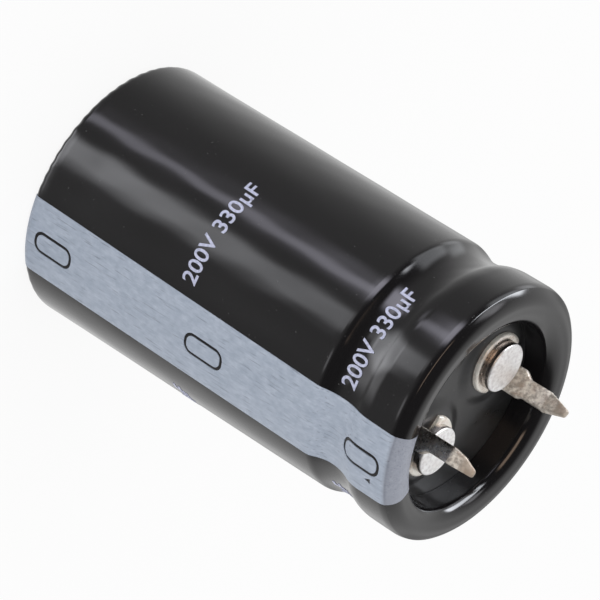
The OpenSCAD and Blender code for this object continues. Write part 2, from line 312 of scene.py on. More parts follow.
def along(points):
    """Length run through at each point of an outline, from its first point."""
    return np.concatenate([[0], np.cumsum(np.linalg.norm(np.diff(points, axis=0), axis=1))])


def outward(outline):
    """Unit normals of an outline that runs with its outer side to the right."""
    slope = np.gradient(outline, axis=0)
    slope /= np.linalg.norm(slope, axis=1)[:, None]
    return np.column_stack([slope[:, 1], -slope[:, 0]])


def ripple(a, b, count, low, high, seed):
    """Smooth unevenness from -1 to 1: the mean of waves that run whole times round (a, in degrees) and at
    random slants along b, each wave a cosine with its own phase."""
    steepest = high / 60
    draw = np.random.default_rng(seed)
    turns = draw.integers(low, high + 1, count)
    slant = draw.uniform(-1, 1, count) * steepest
    phase = draw.uniform(0, 2 * np.pi, count)
    waves = [np.cos(np.radians(a) * n + b * s + p) for n, s, p in zip(turns, slant, phase)]
    return sum(waves) / count


def sunk(wave):
    """A wave from -1 to 1 as a depth from 1 to 0."""
    return 0.5 - 0.5 * wave


def ramp(value, start, length):
    """0 up to start, then an even climb to 1 over length. A negative length climbs downwards."""
    return np.clip((value - start) / length, 0, 1)


# Meshes.

def new_object(name, data):
    """An object in the scene, at the origin."""
    thing = bpy.data.objects.new(name, data)
    bpy.context.scene.collection.objects.link(thing)
    return thing


def mesh_piece(name, points, faces, material, crease):
    """A finished piece from points in mm and faces, smooth but for edges sharper than crease degrees."""
    mesh = bpy.data.meshes.new(name)
    mesh.from_pydata(points * MM, [], faces)
    mesh.validate()
    mesh.polygons.foreach_set("use_smooth", np.ones(len(mesh.polygons), bool))
    mesh.set_sharp_from_angle(angle=math.radians(crease))
    mesh.update()
    mesh.materials.append(material)
    piece = new_object(name, mesh)
    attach(piece, "root")
    return piece


def mark_matt(piece, matt):
    """Stores how matt the metal is at each point, from 0 to 1, for its material to read."""
    piece.data.attributes.new("matt", "FLOAT", "POINT").data.foreach_set("value", matt)


def grid_faces(rows, columns, rows_closed=False):
    """Four-sided faces of a grid of points numbered row by row, with the last column joined to the first,
    and the last row too where the rows are closed."""
    row = np.arange(rows if rows_closed else rows - 1)[:, None]
    column = np.arange(columns)[None, :]
    next_row, next_column = (row + 1) % rows, (column + 1) % columns
    corners = [
        row * columns + column, row * columns + next_column,
        next_row * columns + next_column, next_row * columns + column,
    ]
    return np.stack(corners, axis=-1).reshape(-1, 4).tolist()


def capped_faces(rows, columns):
    """Faces of a grid as in grid_faces(), closed by one face over its first row and one over its last."""
    first = list(range(columns))
    last = list(range((rows - 1) * columns, rows * columns))
    return grid_faces(rows, columns) + [first[::-1], last]


def turned(profile, azimuths):
    """Grid of points made by turning an outline (radius, height) round the Z axis. The radius and height may
    be one number a row, or one a row and column."""
    radius, height = (p if np.ndim(p) == 2 else np.asarray(p)[:, None] for p in profile)
    angle = np.radians(azimuths)[None, :]
    x, y, z = np.broadcast_arrays(radius * np.cos(angle), radius * np.sin(angle), height)
    return np.stack([x, y, z], axis=-1)


# Node materials.

def put(tree, kind, inputs=None, **settings):
    """Adds a shader node. inputs gives each socket, by name or number, a value or another node's output."""
    node = tree.nodes.new("ShaderNode" + kind)
    for key, value in settings.items():
        setattr(node, key, value)
    for key, value in (inputs or {}).items():
        if isinstance(value, bpy.types.NodeSocket):
            tree.links.new(value, node.inputs[key])
        else:
            node.inputs[key].default_value = value
    return node


def maths(tree, operation, *values):
    """An operation on one or two numbers."""
    return put(tree, "Math", dict(enumerate(values)), operation=operation).outputs[0]


def new_finish(name):
    """An empty node material, as (material, tree)."""
    material = bpy.data.materials.new(name)
    material.use_nodes = True
    material.node_tree.nodes.clear()
    return material, material.node_tree


def close_finish(tree, tint, rough, **inputs):
    """Ends a finish with its shader, from its colour, roughness and further sockets."""
    shader = put(tree, "BsdfPrincipled", {"Base Color": tint, "Roughness": rough, **inputs})
    put(tree, "OutputMaterial", {"Surface": shader.outputs[0]})


def grain(tree, size, stretch=(1, 1, 1), detail=3.0, rough=0.55):
    """Noise whose spots are about size mm across, drawn out by stretch along X, Y and Z."""
    place = put(tree, "TexCoord").outputs["Object"]
    scale = [1 / (size * MM * s) for s in stretch]
    spot = put(tree, "Mapping", {"Vector": place, "Scale": scale})
    noise = put(tree, "TexNoise", {
        "Vector": spot.outputs[0], "Scale": 1.0, "Detail": detail, "Roughness": rough,
    })
    return noise.outputs[0]


def spread(tree, value, low, high, to_low=0.0, to_high=1.0, smooth=False):
    """Maps value from low..high to to_low..to_high, held at both ends."""
    node = put(tree, "MapRange", {
        "Value": value, "From Min": low, "From Max": high, "To Min": to_low, "To Max": to_high,
    }, interpolation_type="SMOOTHSTEP" if smooth else "LINEAR")
    return node.outputs[0]


def blended(tree, share, first, second):
    """Colour between first and second by share: an output, or the arguments of spread() for one."""
    share = spread(tree, *share) if isinstance(share, tuple) else share
    node = put(tree, "Mix", data_type="RGBA")
    for socket, value in ((0, share), (6, first), (7, second)):
        if isinstance(value, bpy.types.NodeSocket):
            tree.links.new(value, node.inputs[socket])
        else:
            node.inputs[socket].default_value = value if socket == 0 else (*value, 1)
    return node.outputs[2]


def raised(tree, height, depth, under=None):
    """Surface normals bumped by height, which is depth mm from its lowest to its highest."""
    inputs = {"Height": height, "Strength": 1.0, "Distance": depth * MM}
    if under is not None:
        inputs["Normal"] = under
    return put(tree, "Bump", inputs).outputs[0]


def height_above_foot(tree):
    """Height of a point above the origin, in mm."""
    place = put(tree, "TexCoord").outputs["Object"]
    level = put(tree, "SeparateXYZ", {0: place}).outputs[2]
    return maths(tree, "MULTIPLY", level, 1 / MM)


def matt_share(tree):
    """The attribute matt of a metal piece: 1 where a tool has struck it and 0 where it kept its shine."""
    return put(tree, "Attribute", attribute_name="matt").outputs["Fac"]


def shrink_film():
    """Black heat-shrunk film: glossy, faintly uneven where it has drawn tight, with fine dust."""
    material, tree = new_finish("shrink_film")
    haze = grain(tree, 5.0, (1, 1, 3), 2.0)
    dust = spread(tree, grain(tree, 0.22, detail=1.0), 0.76, 0.80)
    tint = blended(tree, dust, (0.0095, 0.0088, 0.0095), (0.06, 0.06, 0.06))
    peel = raised(tree, grain(tree, 0.7, (1, 1, 2.5), 2.0), 0.0012)
    close_finish(tree, tint, spread(tree, haze, 0.35, 0.7, 0.09, 0.17), IOR=1.5, Normal=peel)
    return material


def stripe_ink():
    """Pale blue-grey ink: streaked along the sleeve, blotched, with short dark lines where it is thin. It
    has a dark line of painted shade where the film is creased over the rim, and is darkened beyond the
    crease by painted shade."""
    material, tree = new_finish("stripe_ink")
    streaks = grain(tree, 0.14, (1, 1, 9), 3.0)
    blotches = grain(tree, 0.45, (1, 1, 1.6), 5.0, 0.65)
    thin = spread(tree, grain(tree, 0.12, (1, 1, 14), 1.0), 0.62, 0.74)
    pale = blended(tree, (blotches, 0.32, 0.68), (0.375, 0.43, 0.52), (0.52, 0.575, 0.675))
    lined = blended(tree, (streaks, 0.35, 0.65, 0.0, 0.45), pale, (0.35, 0.405, 0.50))
    worn = blended(tree, (thin, 0, 1, 0, 0.5), lined, (0.13, 0.145, 0.19))
    level = height_above_foot(tree)
    # Painted shade: the ink is darkened past the crease over the rim, and more in a thin line along the
    # crease.
    shade_beyond_share = spread(tree, level, crease_z - 0.3, crease_z + 0.1, 0, 0.45)
    shaded_beyond = blended(tree, shade_beyond_share, worn, (0.16, 0.135, 0.15))
    off = maths(tree, "ABSOLUTE", maths(tree, "SUBTRACT", level, crease_z))
    crease_shaded = blended(tree, (off, 0.0, 0.12, 0.28, 0), shaded_beyond, (0.06, 0.055, 0.07))
    rough = spread(tree, blotches, 0.3, 0.7, 0.34, 0.48)
    close_finish(tree, crease_shaded, rough, IOR=1.45, Normal=raised(tree, streaks, 0.0015))
    return material


def print_ink():
    """Lavender-white ink of the small print, a little uneven."""
    material, tree = new_finish("print_ink")
    cover = spread(tree, grain(tree, 0.18), 0.25, 0.6)
    tint = blended(tree, cover, (0.36, 0.38, 0.52), (0.62, 0.64, 0.82))
    close_finish(tree, tint, 0.42, IOR=1.45)
    return material


def drawn_aluminium():
    """Bare can: aluminium with fine lines from the drawing die and a dull bloom."""
    material, tree = new_finish("drawn_aluminium")
    lines = grain(tree, 0.08, (1, 1, 40), 3.0)
    bloom = grain(tree, 2.2, detail=4.0)
    tint = blended(tree, (bloom, 0.35, 0.65), (0.74, 0.75, 0.77), (0.84, 0.85, 0.86))
    rough = spread(tree, bloom, 0.3, 0.7, 0.24, 0.42)
    close_finish(tree, tint, rough, Metallic=1.0, Normal=raised(tree, lines, 0.002))
    return material


def seal_rubber():
    """Black moulded rubber: satin, with fine pits, a wiped haze and grey dust."""
    material, tree = new_finish("seal_rubber")
    haze = grain(tree, 2.6, (1.4, 0.8, 1), 4.0)
    dust = spread(tree, grain(tree, 0.2, detail=1.5), 0.72, 0.78)
    dark = blended(tree, (haze, 0.35, 0.7), (0.013, 0.013, 0.013), (0.030, 0.030, 0.032))
    tint = blended(tree, (dust, 0, 1, 0, 0.5), dark, (0.16, 0.16, 0.16))
    pits = raised(tree, grain(tree, 0.12, detail=2.0), 0.004)
    close_finish(tree, tint, spread(tree, haze, 0.3, 0.7, 0.26, 0.42), IOR=1.42, Normal=pits)
    return material


def tinned_steel():
    """Tinned steel strip: rolled lines, dull spots, and warm stains where the tin is thin. Struck metal is
    matt, mottled and creamy, browner on the coined tip, and the rest keeps its rolled shine. At the
    plate's level the struck metal is painted nearly white, a painted highlight for the plate's shine."""
    material, tree = new_finish("tinned_steel")
    matt = matt_share(tree)
    rolled = grain(tree, 0.07, (1, 1, 9), 3.0)
    spots = grain(tree, 0.35, detail=5.0, rough=0.65)
    stain = spread(tree, grain(tree, 0.8, detail=3.0), 0.50, 0.70)
    bright = blended(tree, (spots, 0.35, 0.65), (0.50, 0.45, 0.40), (0.72, 0.67, 0.61))
    struck = blended(tree, (spots, 0.40, 0.60), (0.42, 0.37, 0.32), (0.86, 0.81, 0.73))
    level = height_above_foot(tree)
    # Painted highlight: at the plate's level the struck colour is lightened nearly to white.
    on_plate = spread(tree, level, plate_z + 0.05, plate_z + 0.4, 1, 0)
    struck = blended(tree, on_plate, struck, (1.0, 0.97, 0.90))
    tint = blended(tree, matt, bright, struck)
    coined = spread(tree, level, kink_z + 0.8, kink_z + 1.1, 0, 0.7)
    tint = blended(tree, coined, tint, (0.42, 0.34, 0.27))
    tint = blended(tree, (stain, 0, 1, 0, 0.45), tint, (0.42, 0.30, 0.22))
    shine = spread(tree, spots, 0.3, 0.7, 0.20, 0.36)
    dull = spread(tree, spots, 0.3, 0.7, 0.38, 0.55)
    rough = put(tree, "Mix", {0: matt, 2: shine, 3: dull}, data_type="FLOAT").outputs[0]
    dents = raised(tree, spots, 0.012, raised(tree, rolled, 0.002))
    close_finish(tree, tint, rough, Metallic=spread(tree, matt, 0, 1, 1.0, 0.35), Normal=dents)
    return material


def rivet_aluminium():
    """Headed aluminium: white and matt from the tool on its top, with small hammered patches, and a darker
    shine on its side."""
    material, tree = new_finish("rivet_aluminium")
    patches = grain(tree, 0.3, detail=5.0, rough=0.6)
    cloud = grain(tree, 1.2, detail=2.0)
    bright = blended(tree, (patches, 0.35, 0.6), (0.72, 0.70, 0.70), (0.95, 0.95, 0.95))
    top = blended(tree, (cloud, 0.45, 0.75, 0, 0.4), bright, (0.74, 0.70, 0.68))
    matt = matt_share(tree)
    tint = blended(tree, matt, (0.60, 0.55, 0.52), top)
    rough, metal = spread(tree, matt, 0, 1, 0.25, 0.48), spread(tree, matt, 0, 1, 1.0, 0.6)
    close_finish(tree, tint, rough, Metallic=metal, Normal=raised(tree, patches, 0.012))
    return material


def paper_laminate():
    """Brown phenolic board: pressed paper layers with short fibres."""
    material, tree = new_finish("paper_laminate")
    fibres = grain(tree, 0.15, (6, 1, 1), 4.0)
    layers = grain(tree, 0.12, (60, 60, 1), 2.0)
    tint = blended(tree, (fibres, 0.35, 0.65), (0.16, 0.075, 0.03), (0.27, 0.14, 0.06))
    edge = blended(tree, (layers, 0.4, 0.6, 0, 0.4), tint, (0.10, 0.045, 0.02))
    close_finish(tree, edge, 0.45, IOR=1.5, Normal=raised(tree, fibres, 0.006))
    return material


def wound_layers():
    """Foil and paper seen on edge: rings round the mandrel, dull foil between buff paper."""
    ring_pitch = 0.22
    material, tree = new_finish("wound_layers")
    place = put(tree, "TexCoord").outputs["Object"]
    flat = put(tree, "VectorMath", {0: place, 1: (1, 1, 0)}, operation="MULTIPLY")
    radius = put(tree, "VectorMath", {0: flat.outputs[0]}, operation="LENGTH").outputs["Value"]
    rings = maths(tree, "SINE", maths(tree, "MULTIPLY", radius, 2 * math.pi / (ring_pitch * MM)))
    damp = grain(tree, 1.5, detail=3.0)
    paper = blended(tree, (damp, 0.3, 0.7), (0.42, 0.33, 0.2), (0.55, 0.46, 0.31))
    tint = blended(tree, (rings, -0.3, 0.3), paper, (0.36, 0.36, 0.37))
    close_finish(tree, tint, 0.6, Normal=raised(tree, rings, 0.03))
    return material


def polyester_tape():
    """Amber closing tape over the roll, glossy, with faint lines."""
    material, tree = new_finish("polyester_tape")
    lines = grain(tree, 0.3, (1, 1, 14), 2.0)
    tint = blended(tree, (lines, 0.35, 0.65), (0.50, 0.34, 0.12), (0.58, 0.42, 0.18))
    close_finish(tree, tint, 0.25, IOR=1.55, Normal=raised(tree, lines, 0.003))
    return material


def insulating_paper():
    """Unbleached paper disc with fibres."""
    material, tree = new_finish("insulating_paper")
    fibres = grain(tree, 0.2, (4, 1, 1), 5.0)
    tint = blended(tree, (fibres, 0.3, 0.7), (0.50, 0.41, 0.27), (0.66, 0.58, 0.43))
    close_finish(tree, tint, 0.8, Normal=raised(tree, fibres, 0.02))
    return material


def tab_foil():
    """Soft aluminium strip with rolling lines."""
    material, tree = new_finish("tab_foil")
    lines = grain(tree, 0.06, (1, 1, 25), 3.0)
    tint = blended(tree, (lines, 0.35, 0.65), (0.76, 0.77, 0.78), (0.86, 0.87, 0.88))
    close_finish(tree, tint, 0.36, Metallic=1.0, Normal=raised(tree, lines, 0.003))
    return material


# Sleeve.

def film_crimps(spin):
    """Depth of the creases round the foot, at azimuths spin: a cosine round the axis whose phase wanders and
    whose depth comes and goes."""
    wander = crimp_wander * ripple(spin, 0, count=5, low=3, high=11, seed=8)
    crimps = sunk(np.cos(np.radians(spin) * crimp_count + wander))
    return crimps * (1 - crimp_fade * sunk(ripple(spin, 0, count=6, low=5, high=17, seed=9)))


def film_dips(spin, height):
    """How far the film lies below its outline at azimuths spin and heights: the sum of waves and ruffles on
    the wall, dents round the level dent_z and crimps at the foot, each a depth times a wave and a ramp."""
    waves = sunk(ripple(spin, height / 3.0, count=9, low=2, high=9, seed=4))
    ruffles = sunk(ripple(spin, height * 2.2, count=14, low=7, high=30, seed=21))
    on_wall = ramp(height, *wall_start) * ramp(height, *wall_end)
    dents = sunk(ripple(spin, height * 9, count=16, low=6, high=34, seed=52))
    near_dents = ramp(np.abs(height - dent_z), dent_reach, -dent_reach)
    near_foot = ramp(height, crimp_z + crimp_reach, -crimp_reach) * ramp(height, 0, 0.1)
    wall_dips = (wave_depth * waves + ruffle_depth * ruffles) * on_wall
    return wall_dips + dent_depth * dents * near_dents + crimp_depth * film_crimps(spin) * near_foot


def film_gather(spin, radius, height):
    """How far the film is gathered in towards the axis: most at the lip's edge, and by the squared cosine of
    the azimuth off lip_gather_at."""
    down_lip = ramp(radius, film_lip_x, -film_lip_r) * (height > groove_z)
    return lip_gather * down_lip * np.clip(np.cos(np.radians(spin - lip_gather_at)), 0, 1) ** 2


def make_sleeve(material):
    """The film as one closed turned shell. The outer skin is the film's outline, moved inwards along its
    normals by film_dips() and at the lip by film_gather(). The fold under the closed end is puckered and
    has a ragged edge. The inner skin is the can's own outline."""
    azimuths = np.arange(0, 360, 0.9)
    outer = film_outline()
    inner = body_outline(0)[::6][::-1]
    fold_edge = can_r - sleeve_fold
    fold_r = line((fold_edge, 0), (can_r - corner_r, 0), 12)[:, :1]
    radius, height = outer[:, :1], outer[:, 1:]
    normal = outward(outer)
    spin = azimuths[None, :]
    dip = film_dips(spin, height)
    skin_r = radius - dip * normal[:, :1] - film_gather(spin, radius, height)
    skin_z = height - dip * normal[:, 1:]
    pucker = ramp(fold_r - fold_edge, pucker_reach, -pucker_reach)
    fold_z = pucker_depth * pucker * film_crimps(spin)
    ragged = ragged_by * ripple(spin, 0, count=7, low=6, high=30, seed=12) * pucker ** 3
    can_skin = turned(inner.T, azimuths)
    fold = turned((fold_r + ragged, fold_z), azimuths)
    film_end = turned((fold_edge + ragged[:1], [foot_z]), azimuths)
    rows = np.concatenate([fold, turned((skin_r, skin_z), azimuths), can_skin, film_end])
    points = rows.reshape(-1, 3)
    faces = grid_faces(*rows.shape[:2], rows_closed=True)
    piece = mesh_piece("shrink_sleeve", points, faces, material, 50)
    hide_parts("sleeve")


# Print, drawn flat and laid on the sleeve.

def flat_curve(name, loops):
    """A flat filled curve from closed loops of points, as a mesh. A loop inside another is a hole in it."""
    curve = bpy.data.curves.new(name, "CURVE")
    curve.dimensions, curve.fill_mode = "2D", "BOTH"
    for loop in loops:
        spline = curve.splines.new("POLY")
        spline.points.add(len(loop) - 1)
        padded = np.column_stack([loop, np.zeros(len(loop)), np.ones(len(loop))])
        spline.points.foreach_set("co", padded.astype(np.float32).ravel())
        spline.use_cyclic_u = True
    return as_flat_mesh(name, curve)


def flat_words(name, words, height):
    """Plain words as a flat mesh, height mm tall, starting at the left on the base line."""
    text = bpy.data.curves.new(name, "FONT")
    text.body, text.size, text.offset = words, height / capital_share, bolder_by
    text.resolution_u = 4
    return as_flat_mesh(name, text)


def as_flat_mesh(name, data):
    """The filled form of a curve or text as a mesh."""
    holder = new_object(name, data)
    graph = bpy.context.evaluated_depsgraph_get()
    mesh = bpy.data.meshes.new_from_object(holder.evaluated_get(graph))
    bpy.data.objects.remove(holder)
    return mesh


def cut_to_cells(mesh, cell):
    """Cuts a flat mesh along lines cell mm apart both ways, so that it can follow a curved skin."""
    form = bmesh.new()
    form.from_mesh(mesh)
    bmesh.ops.remove_doubles(form, verts=form.verts, dist=1e-5)
    corners = np.array([v.co[:2] for v in form.verts])
    for axis, normal in enumerate(((1, 0, 0), (0, 1, 0))):
        for at in np.arange(corners[:, axis].min() + cell / 2, corners[:, axis].max(), cell):
            everything = form.verts[:] + form.edges[:] + form.faces[:]
            spot = Vector(normal) * float(at)
            bmesh.ops.bisect_plane(form, geom=everything, plane_co=spot, plane_no=normal, dist=1e-6)
    bmesh.ops.triangulate(form, faces=form.faces)
    return form


def lay_on_sleeve(name, mesh, material, cell, azimuth, run, way, lift):
    """Lays a flat mesh on the sleeve. Its X goes round the axis from azimuth, as an angle of X over the
    sleeve's radius; its Y goes along the sleeve's outline from the length run. With way 1 it stands upright,
    and with -1 on its head. It is lift mm above the film, with its lower face just in the film."""
    form = cut_to_cells(mesh, cell)
    skin = film_outline()
    length = along(skin)
    normal = outward(skin)
    flat = np.array([v.co[:2] for v in form.verts])
    at = run + way * flat[:, 1]
    lean = print_lean * (np.interp(at, length, skin[:, 1]) - print_middle)
    angle = np.radians(azimuth + lean) + way * flat[:, 0] / (can_r + sleeve_t)
    faces = np.array([[v.index for v in f.verts] for f in form.faces])
    border = np.array([[v.index for v in e.verts] for e in form.edges if len(e.link_faces) == 1])
    form.free()
    layers = []
    for height in (lift, -print_sink):
        radius = np.interp(at, length, skin[:, 0] + height * normal[:, 0])
        level = np.interp(at, length, skin[:, 1] + height * normal[:, 1])
        layers.append(np.column_stack([radius * np.cos(angle), radius * np.sin(angle), level]))
    walls = np.column_stack([border, border[:, ::-1] + len(flat)])
    shell = faces.tolist() + (faces[:, ::-1] + len(flat)).tolist() + walls.tolist()
    piece = mesh_piece(name, np.concatenate(layers), shell, material, 40)
    form = bmesh.new()
    form.from_mesh(piece.data)
    bmesh.ops.recalc_face_normals(form, faces=form.faces)
    form.to_mesh(piece.data)
    form.free()
    return piece


def round_box(centre, length, width, corner):
    """Outline of an upright rectangle with round corners: four quarter circles joined by straight sides."""
    x, y = width / 2 - corner, length / 2 - corner
    return np.concatenate([
        arc((centre[0] + right * x, centre[1] + up * y), corner, start, start + 90, 9)
        for right, up, start in ((1, 1, 0), (-1, 1, 90), (-1, -1, 180), (1, -1, 270))
    ])


def sleeve_run(level):
    """Length along the sleeve's outline, from its foot, at a height on the outer side."""
    skin = film_outline()
    side = skin[: np.argmax(skin[:, 1] > rim_z - rim_r)]
    return float(np.interp(level, side[:, 1], along(side)))


def make_stripe(material):
    """The polarity field: a strip from the foot's corner up the wall, over the rim and down to the
    film's end, with the outlines of three minus marks and a small triangle left open."""
    reach = along(film_outline())[-1]
    half = math.radians(stripe_angle / 2) * (can_r + sleeve_t)
    start = math.radians(stripe_start) * (corner_r + sleeve_t)
    loops = [np.array([[-half, start], [half, start], [half, reach], [-half, reach]])]
    for number in range(3):
        middle = (0, sleeve_run(mark_first + number * mark_pitch))
        for inset in (0, mark_line):
            loops.append(round_box(middle, mark_len - 2 * inset, mark_w - 2 * inset, mark_corner - inset))
    x = math.radians(tick_azimuth - stripe_azimuth) * (can_r + sleeve_t)
    y = sleeve_run(mark_first + 2 * mark_pitch + mark_len / 4)
    side = tick_side / 2
    loops.append(np.array([[x - side, y + side], [x + side, y + side], [x, y - side]]))
    mesh = flat_curve("stripe_field", loops)
    piece = lay_on_sleeve(
        "stripe_field", mesh, material, cell=0.3, azimuth=stripe_azimuth, run=0, way=1, lift=ink_t
    )
    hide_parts("polarity_stripe")


def make_ratings(material):
    """Rows of a plain rating, read clockwise from above with the tops towards the closed end, at both
    places round the sleeve."""
    for row, level in enumerate(rating_rows):
        for place, azimuth in enumerate(rating_azimuths):
            mesh = flat_words("rating", rating, rating_height)
            run = sleeve_run(level) + rating_height / 2
            name = f"rating_{row}_{place}"
            lay_on_sleeve(name, mesh, material, cell=0.22, azimuth=azimuth, run=run, way=-1, lift=rating_t)


# Seal, rivets and terminals.

def placed(points, place, turn):
    """Local points turned about Z, by an angle in radians, and moved to a place (x, y)."""
    c, s = np.cos(turn), np.sin(turn)
    x, y, z = np.moveaxis(np.asarray(points), -1, 0)
    return np.stack([c * x - s * y + place[0], s * x + c * y + place[1], z], axis=-1)


def rivet_places():
    """Each terminal's name, its rivet's place and its turn. The blades stand on the X axis, pin_pitch apart,
    and each rivet lies beside and behind its blade."""
    turn = math.radians(-90 - blade_turn)
    rivet = placed((-blade_side, -blade_reach, 0), (pin_pitch / 2, 0), turn)
    for name, spin in (("positive", 0), ("negative", math.pi)):
        yield name, placed(rivet, (0, 0), spin)[:2], spin + turn


def make_seal(material):
    """The rubber face as a turned disc. Its height is raised round each plate, which is pressed into it, by
    half a cosine wave of the distance from the rivet; its outer edge is a quarter circle."""
    centre_r = 0.02
    azimuths = np.arange(0, 360, 2.0)
    quarter = np.radians(np.linspace(0, 90, 8))[1:]
    face_r = np.linspace(centre_r, seal_r - seal_edge_r, 60)
    radii = np.concatenate([face_r, seal_r - seal_edge_r + seal_edge_r * np.sin(quarter)])
    drop = np.concatenate([np.zeros(len(face_r)), seal_edge_r - seal_edge_r * np.cos(quarter)])
    x = radii[:, None] * np.cos(np.radians(azimuths))
    y = radii[:, None] * np.sin(np.radians(azimuths))
    swell = np.zeros_like(x)
    for _, place, _ in rivet_places():
        away = ramp(np.hypot(x - place[0], y - place[1]), swell_flat, swell_slope)
        swell = np.maximum(swell, swell_h / 2 + swell_h / 2 * np.cos(math.pi * away))
    swell = swell * ramp(radii[:, None], swell_end, -swell_fade)
    rows_r = np.concatenate([radii, radii[[-1]], [centre_r]])
    rows_z = np.concatenate([seal_z - drop[:, None] + swell, np.full((2, len(azimuths)), rubber_z)])
    points = turned((rows_r, rows_z), azimuths).reshape(-1, 3)
    faces = [face[::-1] for face in capped_faces(len(rows_r), len(azimuths))]
    piece = mesh_piece("seal_face", points, faces, material, 60)
    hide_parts("seal_rubber")


def make_rivet(name, place, turn, material):
    """A rivet turned about its own axis: flat top with a soft edge, upset side that bulges and wavers a
    little, shank, and the closed head on the inner washer. Its top is matt."""
    centre_r = 0.01
    azimuths = np.arange(0, 360, 5.0)
    low = node_box(f"rivet_{name}")[0][2]
    top = plate_z + head_t
    middle = (centre_r, top - head_dish)
    bulge = arc((head_r - head_edge_r, top - head_edge_r), head_edge_r, 90, 0, 7)
    side = np.array([
        [head_r, plate_z + 0.12], [head_r - head_foot, plate_z], [shank_r, plate_z],
        [shank_r, low + closed_head_t], [closed_head_r, low + closed_head_t],
        [closed_head_r, low + 0.1], [closed_head_r - 0.1, low], [centre_r, low],
    ])
    profile = np.concatenate([[middle], line(middle, bulge[0], 6), bulge, side])
    seed = {"positive": 31, "negative": 37}[name]
    wobble = head_wobble * ripple(azimuths[None, :], 0, count=5, low=2, high=7, seed=seed)
    on_head = (profile[:, :1] > shank_r + 0.3) & (profile[:, 1:] > plate_z - 0.01)
    rows_r = profile[:, :1] - np.abs(wobble) * on_head
    points = placed(turned((rows_r, profile[:, 1]), azimuths).reshape(-1, 3), place, turn)
    faces = [face[::-1] for face in capped_faces(len(profile), len(azimuths))]
    piece = mesh_piece(f"rivet_head_{name}", points, faces, material, 55)
    mark_matt(piece, np.repeat(ramp(profile[:, 1], top - head_edge_r, 0.12), len(azimuths)))
    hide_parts(f"rivet_{name}")


def blade_path():
    """Middle line (y, z) of the bent strip: flat plate, bend, blade, kink and tip."""
    after_cut = 0.001
    bend = arc((blade_reach - plate_t / 2 - bend_r, plate_z + bend_r), bend_r + plate_t / 2, -90, 0, 14)
    round_y = -plate_r * np.cos(np.radians(np.linspace(1.5, 90, 26)))
    square_y = np.linspace(0, plate_cut, 8)[1:]
    neck_y = np.linspace(plate_cut + 0.05, bend[0, 0], 5)[:-1]
    flat_y = np.concatenate([round_y, square_y, [plate_cut + after_cut], neck_y])
    flat = np.column_stack([flat_y, np.full(len(flat_y), seal_z + plate_t / 2)])
    kink = (bend[-1, 0] + kink_out, kink_z)
    lean = kink_out / math.hypot(kink_out, tip_z - kink_z)
    tip = (blade_reach, tip_z - tip_t / 2 * lean)
    return np.concatenate([flat, bend, line(bend[-1], kink, 26), [kink], line(kink, tip, 22), [tip]])


def blank_edges(run, level, right_most):
    """Left and right edge of the stamped blank at each length run along it and height level, measured from
    the rivet's centre line: a circle, cut square, then the wide foot, the tapered shoulders, the blade and
    its round tip. Past the cut, the right edge is at most right_most from the blade's middle."""
    tip_start = tip_z - tip_w / 2
    stations = np.array([
        [seal_z, foot_w / 2], [foot_top, foot_w / 2],
        [foot_top + shoulder_rise * (foot_w - blade_w), blade_w / 2],
        [kink_z, blade_w / 2], [tip_start, tip_w / 2],
    ])
    half = np.interp(level, stations[:, 0], stations[:, 1])
    near_tip = np.clip((level - tip_start) / (tip_w / 2), 0, 0.995)
    half = np.where(level > tip_start, tip_w / 2 * np.sqrt(1 - near_tip ** 2), half)
    round_plate = np.sqrt(np.clip(plate_r ** 2 - run ** 2, 0, None))
    on_plate = run <= plate_cut
    left = np.where(on_plate, -round_plate, blade_side - half)
    right = np.where(on_plate, round_plate, blade_side + np.minimum(half, right_most))
    return left, right


def distance_to_outline(spots, outline):
    """Distance from each spot to the nearest side of a closed outline: to the foot of the perpendicular on
    each side, or to the side's end where that is nearer."""
    side = np.roll(outline, -1, axis=0) - outline
    size = np.maximum((side ** 2).sum(1), 1e-12)
    away = spots[:, :, None, :] - outline
    share = np.clip((away * side).sum(-1) / size, 0, 1)
    return np.linalg.norm(spots[:, :, None, :] - (outline + share[..., None] * side), axis=-1).min(-1)


def strip_columns():
    """Places across the strip, from -1 at its left edge to 1 at its right, closer together at the edges."""
    closer = 0.5 * (1 - np.cos(np.radians(np.linspace(0, 90, 9))))[1:-1]
    left = np.concatenate([[-1], -1 + closer, np.linspace(-0.5, 0.5, 7)])
    return np.unique(np.round(np.concatenate([left, -left]), 6))


def bent_strip(path, x, thick, fall_off):
    """Ring of points at each station of a path (y, z): the face on the rivet head's side at places x, then
    back along the other one, thick away. Both fall away near a cut edge by fall_off, the other by half."""
    tangent = np.gradient(path, axis=0)
    tangent /= np.linalg.norm(tangent, axis=1)[:, None]
    face = np.column_stack([-tangent[:, 1], tangent[:, 0]])
    surfaces = []
    for side, share in ((1, 1.0), (-1, 0.5)):
        rise_by = side * (thick[:, None] / 2 - fall_off * share)
        y = path[:, :1] + face[:, :1] * rise_by
        z = path[:, 1:] + face[:, 1:] * rise_by
        surfaces.append(np.stack([x, y, z], axis=-1))
    return np.concatenate([surfaces[0], surfaces[1][:, ::-1]], axis=1)


